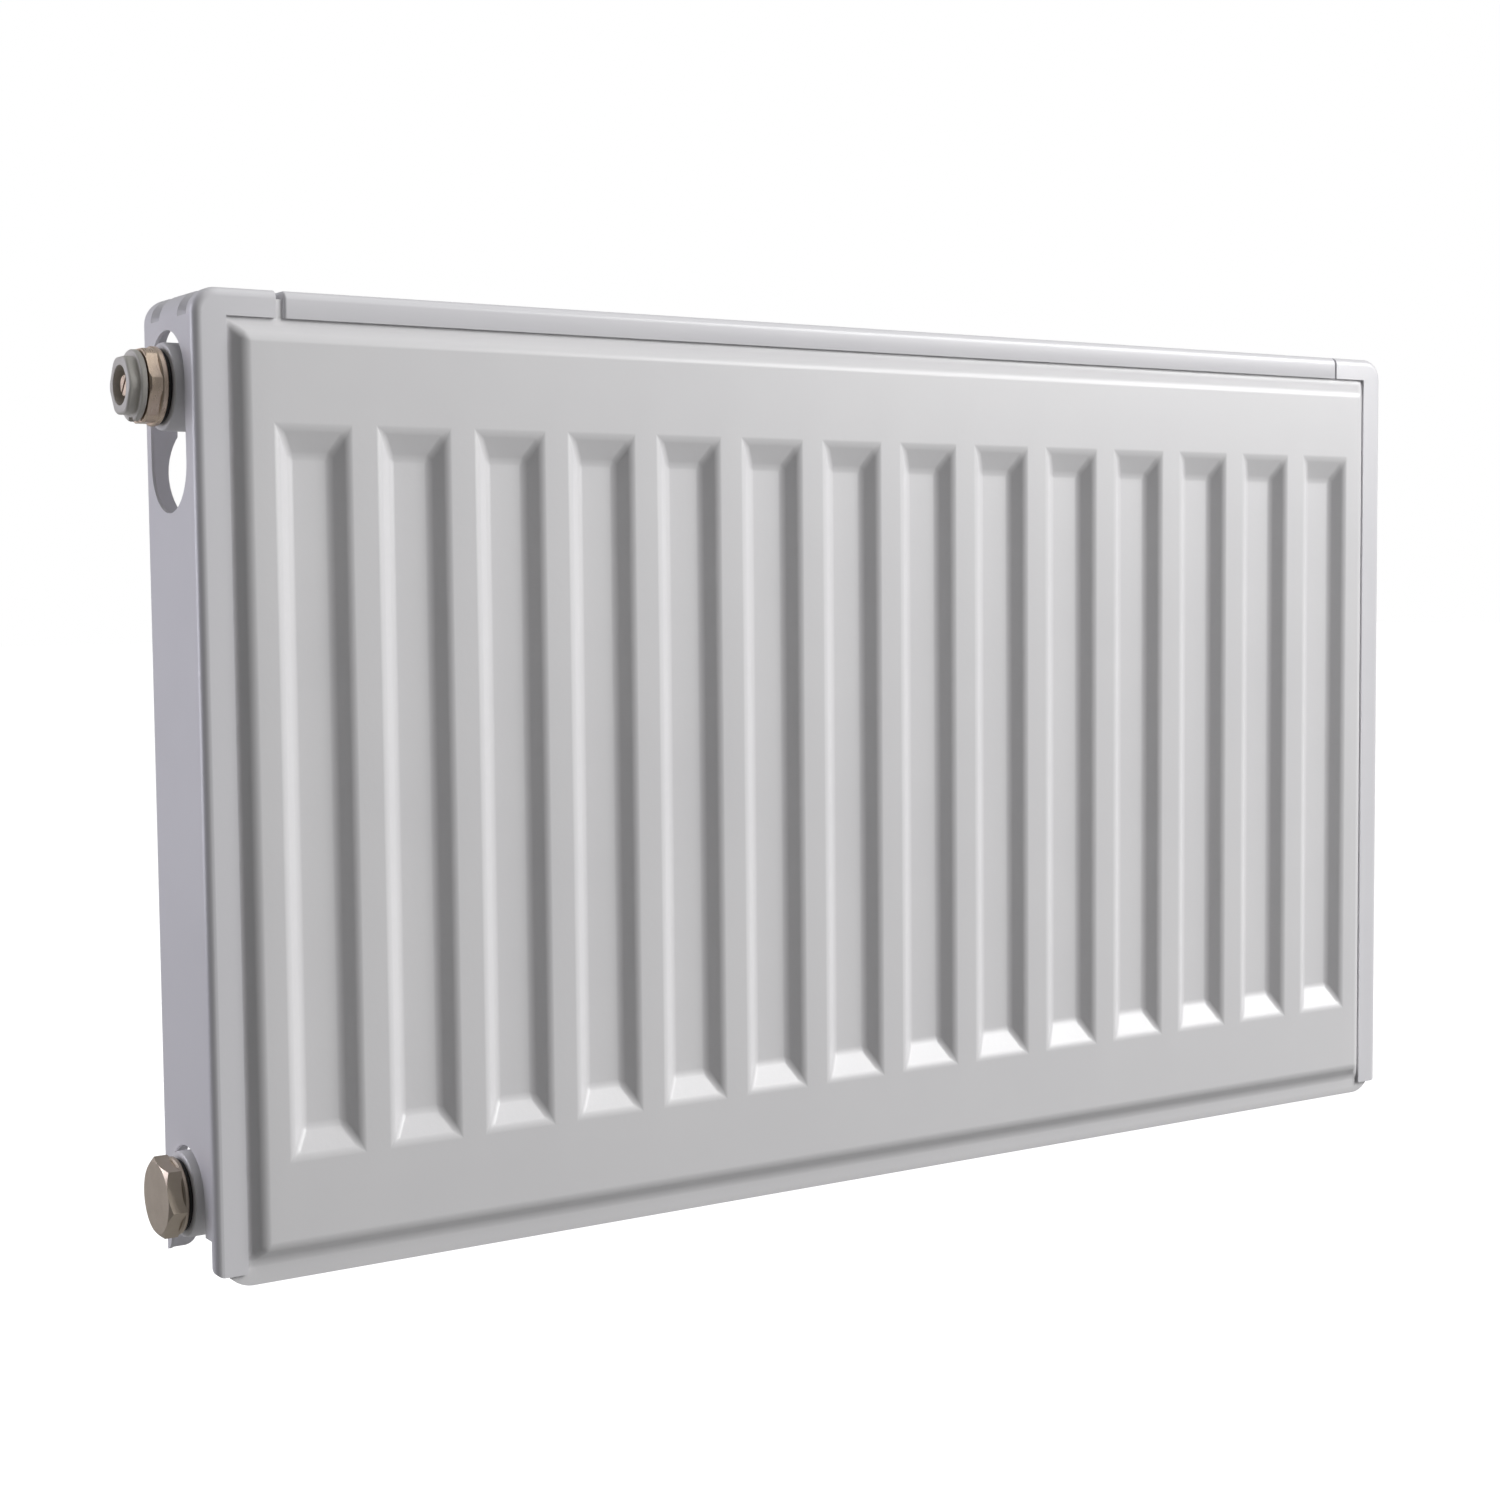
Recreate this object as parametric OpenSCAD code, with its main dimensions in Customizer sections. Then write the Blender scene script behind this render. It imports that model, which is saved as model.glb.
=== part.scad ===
// Single-panel convector radiator with side covers, top grille, air vent and blanking plug.
// Front faces -Y, the wall is on +Y, +Z is up. Origin: midway between the upper hanging slots.

/* [Panel] */
// Width of the water panel (mm)
panel_w = 500; // [300:100:1000]
// Height of the water panel (mm)
panel_h = 298.5; // [298.5:1:600]
// Number of vertical grooves between the water channels
groove_count = 14; // [8:1:29]
// Thickness of the pressed steel sheet (mm)
sheet_t = 1.2; // [1:0.05:1.3]
// Depth from the raised channels to the seam flange (mm)
press_d = 4.5; // [4:0.1:5]
// Depth of each groove (mm)
groove_d = 4.2; // [3.5:0.1:4.4]
// Half width of a groove at its mouth (mm)
groove_mouth = 11.3; // [9:0.1:12]
// Half width of a groove at its floor (mm)
groove_floor = 6.5; // [4:0.1:8]
// Distance from the panel's edge to the end of a groove (mm)
groove_end = 38.3; // [30:0.1:45]
// Width of the flat welded seam along the panel's top and bottom (mm)
seam_w = 7.2; // [7:0.1:8]
// Width of the flat welded seam down the panel's two ends (mm)
seam_end_w = 8.1; // [8:0.1:9]
// Width of the slope between seam and channels (mm)
slope_w = 4.3; // [4:0.1:6]
// Radius of the panel's corners (mm)
corner_r = 10; // [4:0.5:12]

/* [Convector] */
// Number of folds in the convector
fold_count = 13; // [5:1:13]
// Depth of the convector behind the panel (mm)
fold_d = 29; // [20:0.5:30]
// Thickness of the convector sheet (mm)
fold_t = 0.5; // [0.4:0.05:0.8]

/* [Sockets] */
// Outside radius of the socket (mm)
socket_r = 13.3; // [12.5:0.1:13.5]
// Radius of the threaded bore at the thread crests (mm)
bore_r = 9.32; // [9:0.01:9.6]
// Length of the socket (mm)
socket_l = 29.5; // [29:0.5:30]
// Distance a socket's end stands out from the panel's end (mm)
socket_out = 4.6; // [3:0.1:4.6]
// Distance of a socket's axis from the panel's top or bottom edge (mm)
socket_in = 25.7; // [25.5:0.1:28]
// Distance of the socket axes behind the channels' front face (mm)
socket_y = 26.5; // [26:0.1:27]

/* [Covers and grille] */
// Overall height to the top of the covers and grille (mm)
total_h = 301.2; // [301:0.2:603]
// Overall depth of the covers from the panel's front face (mm)
cover_back = 47.5; // [46:0.5:50]
// Thickness of the cover sheet (mm)
cover_t = 1; // [0.8:0.1:1]
// Distance from the panel's end to a cover's outside face (mm)
cover_out = 2.5; // [2:0.1:4]
// Width of a cover's front and rear lips (mm)
lip_w = 10.3; // [9:0.1:10.3]
// Length of a cover's top, inwards from its outside face (mm)
ear_l = 26; // [22:0.5:30]
// Height of the lips along the top (mm)
lip_h = 8.4; // [7:0.1:9]
// Radius of a cover's top corner (mm)
cover_r = 8; // [5:0.5:11]
// Radius of a cover's upright edges (mm)
edge_r = 2.8; // [1.5:0.1:3]
// Number of slots along the grille
slot_count = 26; // [10:1:30]

/* [Vent and plug] */
// Distance across the flats of the plug's hexagon (mm)
hex_af = 22; // [19:0.5:23]
// Radius of the plugs' round flanges (mm)
flange_r = 12; // [11.5:0.1:12.5]
// Radius of the vent cap's rim (mm)
cap_r = 10.8; // [9:0.1:11.5]
// Radius of the vent cap's body (mm)
cap_body_r = 8.7; // [8:0.1:9.5]

/* [Hidden] */
$fn = 48;
pitch = panel_w / (groove_count + 1);
seam_y = press_d + sheet_t;
back_y = 2 * seam_y;
half_w = panel_w / 2;
out_x = half_w + cover_out;
z_low = socket_in;
z_high = panel_h - 25.5;
cover_front = press_d - 0.3 - cover_t;
cover_foot = 15;
lip_foot = 4;
ear_x = out_x - ear_l;
grille_x0 = -ear_x + 2.5;
grille_x1 = ear_x - 0.5;
fold_z0 = 52;
fold_z1 = panel_h - 52;
lug_x = 4.5 * pitch;
hook_y = 28;
hook_z = panel_h - 22.5;
lug_t = 3;
slot_pitch = (grille_x1 - grille_x0 - 16) / slot_count;
ring_x = half_w + socket_out;
vent_x = ring_x + 1.4;

module seat() {
  translate([0, -hook_y, -hook_z])
    children();
}

module frustum(w0, h0, w1, h1, y0, y1, zc) {
  translate([0, y0, zc])
    rotate([-90, 0, 0])
      linear_extrude(height = y1 - y0, scale = [w1 / w0, h1 / h0], slices = 1)
        square([w0, h0], center = true);
}

module seam_plate(y0, t) {
  translate([0, y0 + t, 0])
    rotate([90, 0, 0])
      linear_extrude(height = t)
        translate([-half_w + corner_r, corner_r])
          offset(r = corner_r)
            square([panel_w - 2 * corner_r, panel_h - 2 * corner_r]);
}

module raised_pad(dy) {
  base_x = panel_w - 2 * seam_end_w;
  base_z = panel_h - 2 * seam_w;
  frustum(base_x - 2 * slope_w, base_z - 2 * slope_w, base_x, base_z,
    dy, press_d + dy, panel_h / 2);
}

module grooves(dy) {
  run = panel_h - 2 * groove_end;
  for (i = [1 : groove_count])
    translate([i * pitch - half_w, 0, 0])
      frustum(2 * groove_mouth, run, 2 * groove_floor, run - 16.8, dy, groove_d + dy, panel_h / 2);
}

module pressed_sheet() {
  difference() {
    union() {
      seam_plate(press_d, sheet_t);
      raised_pad(0);
    }
    translate([0, -0.001, 0])
      grooves(0);
    difference() {
      raised_pad(sheet_t);
      grooves(sheet_t);
    }
  }
}

module front_sheet() {
  color("white")
    seat()
      pressed_sheet();
}

module back_sheet() {
  color("white")
    seat()
      difference() {
        translate([0, back_y, 0])
          mirror([0, 1, 0])
            pressed_sheet();
        for (s = [-1, 1], z = [z_low, z_high])
          translate([s * (half_w - socket_l / 2 - 8), back_y - 4, z])
            rotate([-90, 0, 0])
              cylinder(r = 6, h = 8);
      }
}

module convector() {
  flat = pitch * 0.44;
  crest = pitch * 0.3;
  half = pitch / 2 + 0.02;
  y0 = back_y + 0.05;
  color("white")
    seat()
      translate([0, 0, fold_z0])
        linear_extrude(height = fold_z1 - fold_z0)
          for (i = [0 : fold_count - 1])
            translate([(i - (fold_count - 1) / 2) * pitch, 0])
              difference() {
                polygon([[-half, y0], [half, y0], [half, y0 + fold_t],
                  [flat / 2 + fold_t, y0 + fold_t], [crest / 2 + fold_t, y0 + fold_d],
                  [-crest / 2 - fold_t, y0 + fold_d], [-flat / 2 - fold_t, y0 + fold_t],
                  [-half, y0 + fold_t]]);
                polygon([[-flat / 2, y0 - 1], [flat / 2, y0 - 1], [flat / 2, y0 + fold_t],
                  [crest / 2, y0 + fold_d - fold_t], [-crest / 2, y0 + fold_d - fold_t],
                  [-flat / 2, y0 + fold_t]]);
              }
}

module socket(side, z) {
  color("white")
    seat()
      translate([side * ring_x, socket_y, z])
        rotate([0, -90 * side, 0])
          difference() {
            union() {
              cylinder(r = socket_r, h = socket_l);
              translate([0, 0, socket_l / 2 + 8 + socket_out])
                rotate([90, 0, 0])
                  cylinder(r = 8, h = socket_y - back_y);
            }
            translate([0, 0, -1])
              cylinder(r = bore_r, h = 18);
            translate([0, 0, -1])
              cylinder(r = 6, h = socket_l - 1);
            translate([0, 0, socket_l / 2 + 8 + socket_out])
              rotate([90, 0, 0])
                cylinder(r = 5, h = socket_y - back_y + 1);
          }
}

module socket_ul() {
  socket(-1, z_high);
}

module socket_ll() {
  socket(-1, z_low);
}

module socket_ur() {
  socket(1, z_high);
}

module socket_lr() {
  socket(1, z_low);
}

module lug(x, up) {
  z_mid = up ? hook_z - 2 : z_low - 2;
  slot_z = up ? hook_z - 20 : z_low + 2;
  color("white")
    seat()
      difference() {
        union() {
          translate([x - 12, back_y, z_mid - 14])
            cube([24, 2, 30]);
          translate([x - lug_t / 2, back_y + 1, z_mid - 14])
            cube([lug_t, 27.5, 30]);
        }
        translate([x - 5, hook_y - 4, slot_z])
          cube([10, 8, 16]);
        translate([x - 5, hook_y, slot_z + (up ? 16 : 0)])
          rotate([0, 90, 0])
            cylinder(r = 4, h = 10);
      }
}

module lug_ul() {
  lug(-lug_x, true);
}

module lug_ur() {
  lug(lug_x, true);
}

module lug_ll() {
  lug(-lug_x, false);
}

module lug_lr() {
  lug(lug_x, false);
}

module cover_block(grow) {
  g = grow;
  r_top = cover_r - g;
  r_edge = edge_r - g;
  intersection() {
    translate([0, 60, 0])
      rotate([90, 0, 0])
        linear_extrude(height = 70)
          hull() {
            translate([ear_x - 5, lip_foot - (g > 0 ? 5 : 0)])
              square([out_x - g - ear_x + 5, 50]);
            translate([out_x - g - r_top, total_h - g - r_top])
              circle(r = r_top);
            translate([ear_x - 5, total_h - g - 20])
              square([5, 20]);
          }
    translate([0, 0, -5])
      linear_extrude(height = total_h + 10)
        hull() {
          translate([ear_x - (g > 0 ? 2 : 0), cover_front + g])
            square([5, cover_back - cover_front - 2 * g]);
          translate([out_x - g - r_edge, cover_front + g + r_edge])
            circle(r = r_edge);
          translate([out_x - g - r_edge, cover_back - g - r_edge])
            circle(r = r_edge);
        }
  }
}

module side_cut(y0, y1) {
  translate([ear_x - 3, y0, -5])
    cube([out_x - lip_w - ear_x + 3, y1 - y0, total_h - lip_h + 5]);
}

module pipe_slots() {
  w = 15;
  translate([out_x - 6, socket_y, 0])
    rotate([0, 90, 0])
      cylinder(r = w, h = 10);
  translate([out_x - 6, socket_y - w, lip_foot - 10])
    cube([10, 2 * w, z_low + 10 - lip_foot]);
  translate([out_x - 6, socket_y, z_low])
    rotate([0, 90, 0])
      cylinder(r = w, h = 10);
  translate([out_x - 6, socket_y, z_high + 2])
    rotate([0, 90, 0])
      cylinder(r = w, h = 10);
  translate([out_x - 6, socket_y - w, z_high - 23])
    cube([10, 2 * w, 25]);
  translate([out_x - 6, socket_y, z_high - 23])
    rotate([0, 90, 0])
      cylinder(r = w, h = 10);
}

module side_cover() {
  difference() {
    cover_block(0);
    cover_block(cover_t);
    side_cut(cover_front - 1, cover_front + 3);
    side_cut(cover_back - 3, cover_back + 1);
    pipe_slots();
    translate([out_x - lip_w - 2, cover_front + 3, 0])
      cube([lip_w + 4, socket_y + 2 - cover_front, cover_foot]);
  }
}

module left_cover() {
  color("white")
    seat()
      mirror([1, 0, 0])
        side_cover();
}

module right_cover() {
  color("white")
    seat()
      side_cover();
}

module cover_clip() {
  x = out_x - cover_t;
  translate([x - 1, back_y - press_d + 0.3, 130])
    cube([1, 14, 30]);
  translate([x - 6.6, back_y - press_d + 0.3, 130])
    cube([6.6, 0.8, 30]);
}

module left_cover_clip() {
  color("silver")
    seat()
      mirror([1, 0, 0])
        cover_clip();
}

module right_cover_clip() {
  color("silver")
    seat()
      cover_clip();
}

module top_grille() {
  depth = cover_back - cover_front;
  len = grille_x1 - grille_x0;
  color("white")
    seat()
      difference() {
        translate([grille_x0, 0, 0])
          rotate([90, 0, 90])
            linear_extrude(height = len)
              difference() {
                translate([cover_front + edge_r, total_h - 20])
                  offset(r = edge_r)
                    square([depth - 2 * edge_r, 20 - edge_r]);
                translate([cover_front + edge_r, total_h - 20])
                  offset(r = edge_r - cover_t)
                    square([depth - 2 * edge_r, 20 - edge_r]);
                translate([cover_front - 1, total_h - 30])
                  square([depth + 2, 30 - lip_h]);
              }
        for (i = [0 : slot_count - 1], row = [0, 1])
          translate([grille_x0 + 8 + i * slot_pitch + 3, cover_front + 5 + row * 18, total_h - 3])
            cube([slot_pitch - 6, 16, 5]);
      }
}

module grille_clip(x) {
  color("silver")
    seat() {
      translate([x - 7, back_y + 1, total_h - cover_t - 1])
        cube([14, 14, 1]);
      translate([x - 7, back_y + 1, total_h - cover_t - 24])
        cube([14, 1, 24]);
    }
}

module grille_clip_left() {
  grille_clip(-3 * pitch);
}

module grille_clip_right() {
  grille_clip(3 * pitch);
}

module vent_body() {
  color("tan")
    seat()
      translate([-vent_x, socket_y, z_high])
        rotate([0, -90, 0])
          difference() {
            union() {
              cylinder(r = flange_r, h = 2);
              intersection() {
                rotate([0, 0, 30])
                  cylinder(r = hex_af / sqrt(3), h = 5.7, $fn = 6);
                cylinder(r = flange_r - 0.2, h = 5.7);
              }
              translate([0, 0, -14])
                cylinder(r = bore_r - 0.2, h = 14.5);
              cylinder(r = 7.2, h = 7.4);
            }
            translate([0, 0, -15])
              cylinder(r = 4.2, h = 11);
            translate([0, 0, 1.5])
              cylinder(r = 4.2, h = 10);
          }
}

module o_ring(z, r) {
  translate([-ring_x - 0.7, socket_y, z])
    rotate([0, 90, 0])
      rotate_extrude()
        translate([r, 0])
          circle(r = 0.65, $fn = 16);
}

module vent_o_ring() {
  color("black")
    seat()
      o_ring(z_high, 10.6);
}

module blank_o_ring() {
  color("black")
    seat()
      o_ring(z_low, 10.6);
}

module vent_cap() {
  color("gray")
    seat()
      translate([-vent_x - 6, socket_y, z_high])
        rotate([0, -90, 0])
          difference() {
            union() {
              cylinder(r = cap_r, h = 2);
              cylinder(r1 = cap_body_r + 0.8, r2 = cap_body_r, h = 5.2);
            }
            translate([0, 0, -1])
              cylinder(r = 7.5, h = 2.8);
            cylinder(r = 6, h = 20);
          }
}

module vent_spindle() {
  color("tan")
    seat()
      translate([-vent_x - 1.8, socket_y, z_high])
        rotate([0, -90, 0])
          difference() {
            union() {
              cylinder(r = 2.4, h = 8);
              cylinder(r = 3.9, h = 4);
              translate([0, 0, 5.6])
                cylinder(r = 3.4, h = 2.4);
            }
            rotate([0, 0, 40])
              translate([-0.5, -4, 6.6])
                cube([1, 8, 3]);
          }
}

module blank_plug() {
  color("silver")
    seat()
      translate([-vent_x, socket_y, z_low])
        rotate([0, -90, 0])
          union() {
            cylinder(r = flange_r, h = 1.6);
            intersection() {
              rotate([0, 0, 18])
                cylinder(r = hex_af / sqrt(3), h = 6.4, $fn = 6);
              cylinder(r1 = 17.6, r2 = 11.2, h = 6.4);
            }
            translate([0, 0, -14])
              cylinder(r = bore_r - 0.2, h = 14.5);
          }
}

front_sheet();
back_sheet();
convector();
socket_ul();
socket_ll();
socket_ur();
socket_lr();
lug_ul();
lug_ur();
lug_ll();
lug_lr();
left_cover();
right_cover();
left_cover_clip();
right_cover_clip();
top_grille();
grille_clip_left();
grille_clip_right();
vent_body();
vent_o_ring();
vent_cap();
vent_spindle();
blank_plug();
blank_o_ring();
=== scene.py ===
import bpy
import bmesh
import math
from mathutils import Matrix, Vector


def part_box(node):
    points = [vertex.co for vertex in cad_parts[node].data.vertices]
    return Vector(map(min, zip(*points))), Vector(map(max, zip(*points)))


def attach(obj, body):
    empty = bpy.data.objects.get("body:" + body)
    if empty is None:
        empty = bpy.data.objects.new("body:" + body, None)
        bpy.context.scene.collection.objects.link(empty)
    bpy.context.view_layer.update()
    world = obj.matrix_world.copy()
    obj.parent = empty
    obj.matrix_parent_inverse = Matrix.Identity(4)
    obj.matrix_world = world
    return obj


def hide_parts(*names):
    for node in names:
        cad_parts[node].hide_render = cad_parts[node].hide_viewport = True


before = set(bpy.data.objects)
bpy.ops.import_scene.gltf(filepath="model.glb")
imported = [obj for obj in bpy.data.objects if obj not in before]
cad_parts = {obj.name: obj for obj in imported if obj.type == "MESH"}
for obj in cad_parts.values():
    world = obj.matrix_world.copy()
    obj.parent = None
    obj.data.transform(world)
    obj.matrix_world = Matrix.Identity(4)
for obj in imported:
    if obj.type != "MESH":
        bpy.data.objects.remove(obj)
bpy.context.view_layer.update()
print("frame loaded")


# the helpers and pieces work in millimetres, in the part's own frame
def boxMm(node):
    low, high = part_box(node)
    return low * 1000, high * 1000


def toObject(name, bm, material, smoothAngle=32):
    bmesh.ops.transform(bm, matrix=Matrix.Scale(0.001, 4), verts=bm.verts)
    mesh = bpy.data.meshes.new(name)
    bm.to_mesh(mesh)
    bm.free()
    mesh.polygons.foreach_set("use_smooth", [True] * len(mesh.polygons))
    mesh.set_sharp_from_angle(angle=math.radians(smoothAngle))
    mesh.materials.append(material)
    piece = bpy.data.objects.new(name, mesh)
    bpy.context.scene.collection.objects.link(piece)
    return piece


def place(piece, body, slotName, *nodes):
    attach(piece, body)
    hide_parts(*nodes)
    return piece


def applyModifiers(piece):
    graph = bpy.context.evaluated_depsgraph_get()
    made = bpy.data.meshes.new_from_object(piece.evaluated_get(graph))
    piece.modifiers.clear()
    piece.data = made


def carve(piece, cutters, operation="DIFFERENCE", smoothAngle=32):
    for cutter in cutters:
        modifier = piece.modifiers.new("carve", "BOOLEAN")
        modifier.operation = operation
        modifier.solver = "EXACT"
        modifier.object = cutter
    applyModifiers(piece)
    for cutter in cutters:
        bpy.data.objects.remove(cutter)
    piece.data.polygons.foreach_set("use_smooth", [True] * len(piece.data.polygons))
    piece.data.set_sharp_from_angle(angle=math.radians(smoothAngle))


def addBlock(bm, low, high):
    size = Vector(high) - Vector(low)
    centre = (Vector(high) + Vector(low)) / 2
    matrix = Matrix.Translation(centre) @ Matrix.Diagonal((*size, 1))
    return bmesh.ops.create_cube(bm, size=1, matrix=matrix)["verts"]


def near(a, b, slack=0.02):
    return abs(a - b) < slack


def lathe(bm, profile, centre, axis, steps=64):
    # profile is (radius, distance along the axis); spun into a closed skin
    axis = Vector(axis).normalized()
    side = axis.orthogonal().normalized()
    points = [Vector(centre) + side * r + axis * d for r, d in profile]
    verts = [bm.verts.new(p) for p in points]
    edges = [bm.edges.new(pair) for pair in zip(verts, verts[1:])]
    if (points[0] - points[-1]).length > 1e-6 and profile[0][0] > 0:
        edges.append(bm.edges.new((verts[-1], verts[0])))
    before = set(bm.faces)
    bmesh.ops.spin(bm, geom=verts + edges, cent=centre, axis=axis, dvec=(0, 0, 0),
                   angle=math.tau, steps=steps, use_merge=True)
    made = [f for f in bm.faces if f not in before]
    around = {v for f in made for v in f.verts}
    bmesh.ops.remove_doubles(bm, verts=list(around), dist=0.001)
    made = [f for f in bm.faces if f not in before]
    bmesh.ops.recalc_face_normals(bm, faces=made)


def cutterFrom(profile, centre, axis, steps=64):
    bm = bmesh.new()
    lathe(bm, profile, centre, axis, steps)
    return toObject("cutter", bm, cutterPaint)


def roundEdges(bm, edges, offset, segments):
    bmesh.ops.bevel(bm, geom=edges, offset=offset, segments=segments, profile=0.5,
                    affect="EDGES", material=-1, clamp_overlap=True)


def sharpEdges(bm, degrees):
    limit = math.radians(degrees)
    return [e for e in bm.edges if len(e.link_faces) == 2 and e.calc_face_angle(0) > limit]


def cutAcross(bm, faces, point, normal):
    # a straight cut through these faces that keeps both sides
    geom = set(faces) | {e for f in faces for e in f.edges} | {v for f in faces for v in f.verts}
    bmesh.ops.bisect_plane(bm, geom=list(geom), plane_co=point, plane_no=normal, dist=0.0001)


def joinSkins(name, pieces, material):
    whole = bmesh.new()
    for piece in pieces:
        whole.from_mesh(piece.data)
        bpy.data.objects.remove(piece)
    bmesh.ops.transform(whole, matrix=Matrix.Scale(1000, 4), verts=whole.verts)
    return toObject(name, whole, material, 30)


def softenEdges(piece, width):
    edge = piece.modifiers.new("edges", "BEVEL")
    edge.width, edge.segments, edge.limit_method = width / 1000, 2, "ANGLE"


def linear(code):
    channels = [int(code[i:i + 2], 16) / 255 for i in (1, 3, 5)]
    return [c / 12.92 if c <= 0.04045 else ((c + 0.055) / 1.055) ** 2.4 for c in channels] + [1]


def addNode(tree, kind, settings=None, inputs=None):
    node = tree.nodes.new(kind)
    for key, value in (settings or {}).items():
        setattr(node, key, value)
    for key, value in (inputs or {}).items():
        if isinstance(value, bpy.types.NodeSocket):
            tree.links.new(value, node.inputs[key])
        else:
            node.inputs[key].default_value = value
    return node


def startMaterial(name):
    material = bpy.data.materials.new(name)
    material.use_nodes = True
    tree = material.node_tree
    tree.nodes.clear()
    shader = addNode(tree, "ShaderNodeBsdfPrincipled")
    addNode(tree, "ShaderNodeOutputMaterial", inputs={"Surface": shader.outputs[0]})
    coords = addNode(tree, "ShaderNodeTexCoord").outputs["Object"]
    return material, tree, shader, coords


def perMetre(sizeMm):
    # a noise lump of this many millimetres
    return 1000 / sizeMm


def makePowderCoat(name, look):
    material, tree, shader, coords = startMaterial(name)
    haze = addNode(tree, "ShaderNodeTexNoise", inputs={
        "Vector": coords, "Scale": perMetre(look["hazeMm"]), "Detail": 4, "Roughness": 0.6})
    tint = addNode(tree, "ShaderNodeMix", {"data_type": "RGBA"}, {
        "Factor": haze.outputs["Fac"], 6: linear(look["deep"]), 7: linear(look["light"])})
    tree.links.new(tint.outputs[2], shader.inputs["Base Color"])
    gloss = addNode(tree, "ShaderNodeMapRange", inputs={
        "Value": haze.outputs["Fac"], "From Min": 0.3, "From Max": 0.7,
        "To Min": look["roughness"] - 0.03, "To Max": look["roughness"] + 0.04})
    tree.links.new(gloss.outputs[0], shader.inputs["Roughness"])
    peel = addNode(tree, "ShaderNodeTexNoise", inputs={
        "Vector": coords, "Scale": perMetre(look["peelMm"]), "Detail": 2, "Roughness": 0.45})
    bump = addNode(tree, "ShaderNodeBump", inputs={
        "Height": peel.outputs["Fac"], "Strength": look["peel"], "Distance": 0.0003})
    tree.links.new(bump.outputs[0], shader.inputs["Normal"])
    shader.inputs["IOR"].default_value = 1.5
    shader.inputs["Coat Weight"].default_value = look["coat"]
    shader.inputs["Coat Roughness"].default_value = 0.22
    return material


def makeMetal(name, look):
    material, tree, shader, coords = startMaterial(name)
    stretched = addNode(tree, "ShaderNodeMapping", inputs={
        "Vector": coords, "Scale": look["stretch"]})
    lines = addNode(tree, "ShaderNodeTexNoise", inputs={
        "Vector": stretched.outputs[0], "Scale": perMetre(look["lineMm"]), "Detail": 5})
    patches = addNode(tree, "ShaderNodeTexNoise", inputs={
        "Vector": coords, "Scale": perMetre(look["patchMm"]), "Detail": 3})
    tint = addNode(tree, "ShaderNodeMix", {"data_type": "RGBA"}, {
        "Factor": patches.outputs["Fac"], 6: linear(look["deep"]), 7: linear(look["light"])})
    tree.links.new(tint.outputs[2], shader.inputs["Base Color"])
    shine = addNode(tree, "ShaderNodeMapRange", inputs={
        "Value": lines.outputs["Fac"], "From Min": 0.3, "From Max": 0.7,
        "To Min": look["roughness"] - 0.06, "To Max": look["roughness"] + 0.08})
    tree.links.new(shine.outputs[0], shader.inputs["Roughness"])
    bump = addNode(tree, "ShaderNodeBump", inputs={
        "Height": lines.outputs["Fac"], "Strength": look["bump"], "Distance": 0.0001})
    tree.links.new(bump.outputs[0], shader.inputs["Normal"])
    shader.inputs["Metallic"].default_value = 1.0
    return material


def makePlain(name, look):
    material, tree, shader, coords = startMaterial(name)
    grain = addNode(tree, "ShaderNodeTexNoise", inputs={
        "Vector": coords, "Scale": perMetre(look["grainMm"]), "Detail": 4})
    tint = addNode(tree, "ShaderNodeMix", {"data_type": "RGBA"}, {
        "Factor": grain.outputs["Fac"], 6: linear(look["deep"]), 7: linear(look["light"])})
    tree.links.new(tint.outputs[2], shader.inputs["Base Color"])
    rough = addNode(tree, "ShaderNodeMapRange", inputs={
        "Value": grain.outputs["Fac"], "From Min": 0.3, "From Max": 0.7,
        "To Min": look["roughness"] - 0.05, "To Max": look["roughness"] + 0.05})
    tree.links.new(rough.outputs[0], shader.inputs["Roughness"])
    bump = addNode(tree, "ShaderNodeBump", inputs={
        "Height": grain.outputs["Fac"], "Strength": look["bump"], "Distance": 0.0001})
    tree.links.new(bump.outputs[0], shader.inputs["Normal"])
    shader.inputs["IOR"].default_value = look["ior"]
    return material


# powder coat on pressed steel: even white, soft sheen, a faint orange-peel skin
panelPaint = makePowderCoat("whitePowderCoat", {
    "light": "#ecebec", "deep": "#e6e5e7", "hazeMm": 60, "roughness": 0.36,
    "peelMm": 1.6, "peel": 0.05, "coat": 0.25})
# the same coat on the folded covers, sprayed apart: a touch smoother
coverPaint = makePowderCoat("coverPowderCoat", {
    "light": "#ecebee", "deep": "#e7e6ea", "hazeMm": 45, "roughness": 0.33,
    "peelMm": 1.4, "peel": 0.04, "coat": 0.3})
# thin dip primer and dust coat on the hidden folds: duller and uneven
foldPaint = makePowderCoat("dipCoat", {
    "light": "#e2e1e1", "deep": "#d3d2d2", "hazeMm": 18, "roughness": 0.5,
    "peelMm": 2.2, "peel": 0.1, "coat": 0.05})
# zinc-plated spring steel, rolled: cool grey with fine lines along the strip
springSteel = makeMetal("zincSpringSteel", {
    "light": "#b4b7ba", "deep": "#93979b", "stretch": (1, 1, 0.08), "lineMm": 0.35,
    "patchMm": 6, "roughness": 0.34, "bump": 0.15})
# nickel-plated brass, turned: warm beige, dull bright
ventNickel = makeMetal("warmNickelPlate", {
    "light": "#e6d4c3", "deep": "#d3bea8", "stretch": (1, 0.1, 0.1), "lineMm": 0.3,
    "patchMm": 4, "roughness": 0.3, "bump": 0.08})
# nickel plate on the plug: greyer and duller than the vent's, with coarser lines
plugNickel = makeMetal("dullNickelPlate", {
    "light": "#c9bdae", "deep": "#b1a494", "stretch": (0.1, 1, 1), "lineMm": 0.4,
    "patchMm": 7, "roughness": 0.36, "bump": 0.15})
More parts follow.
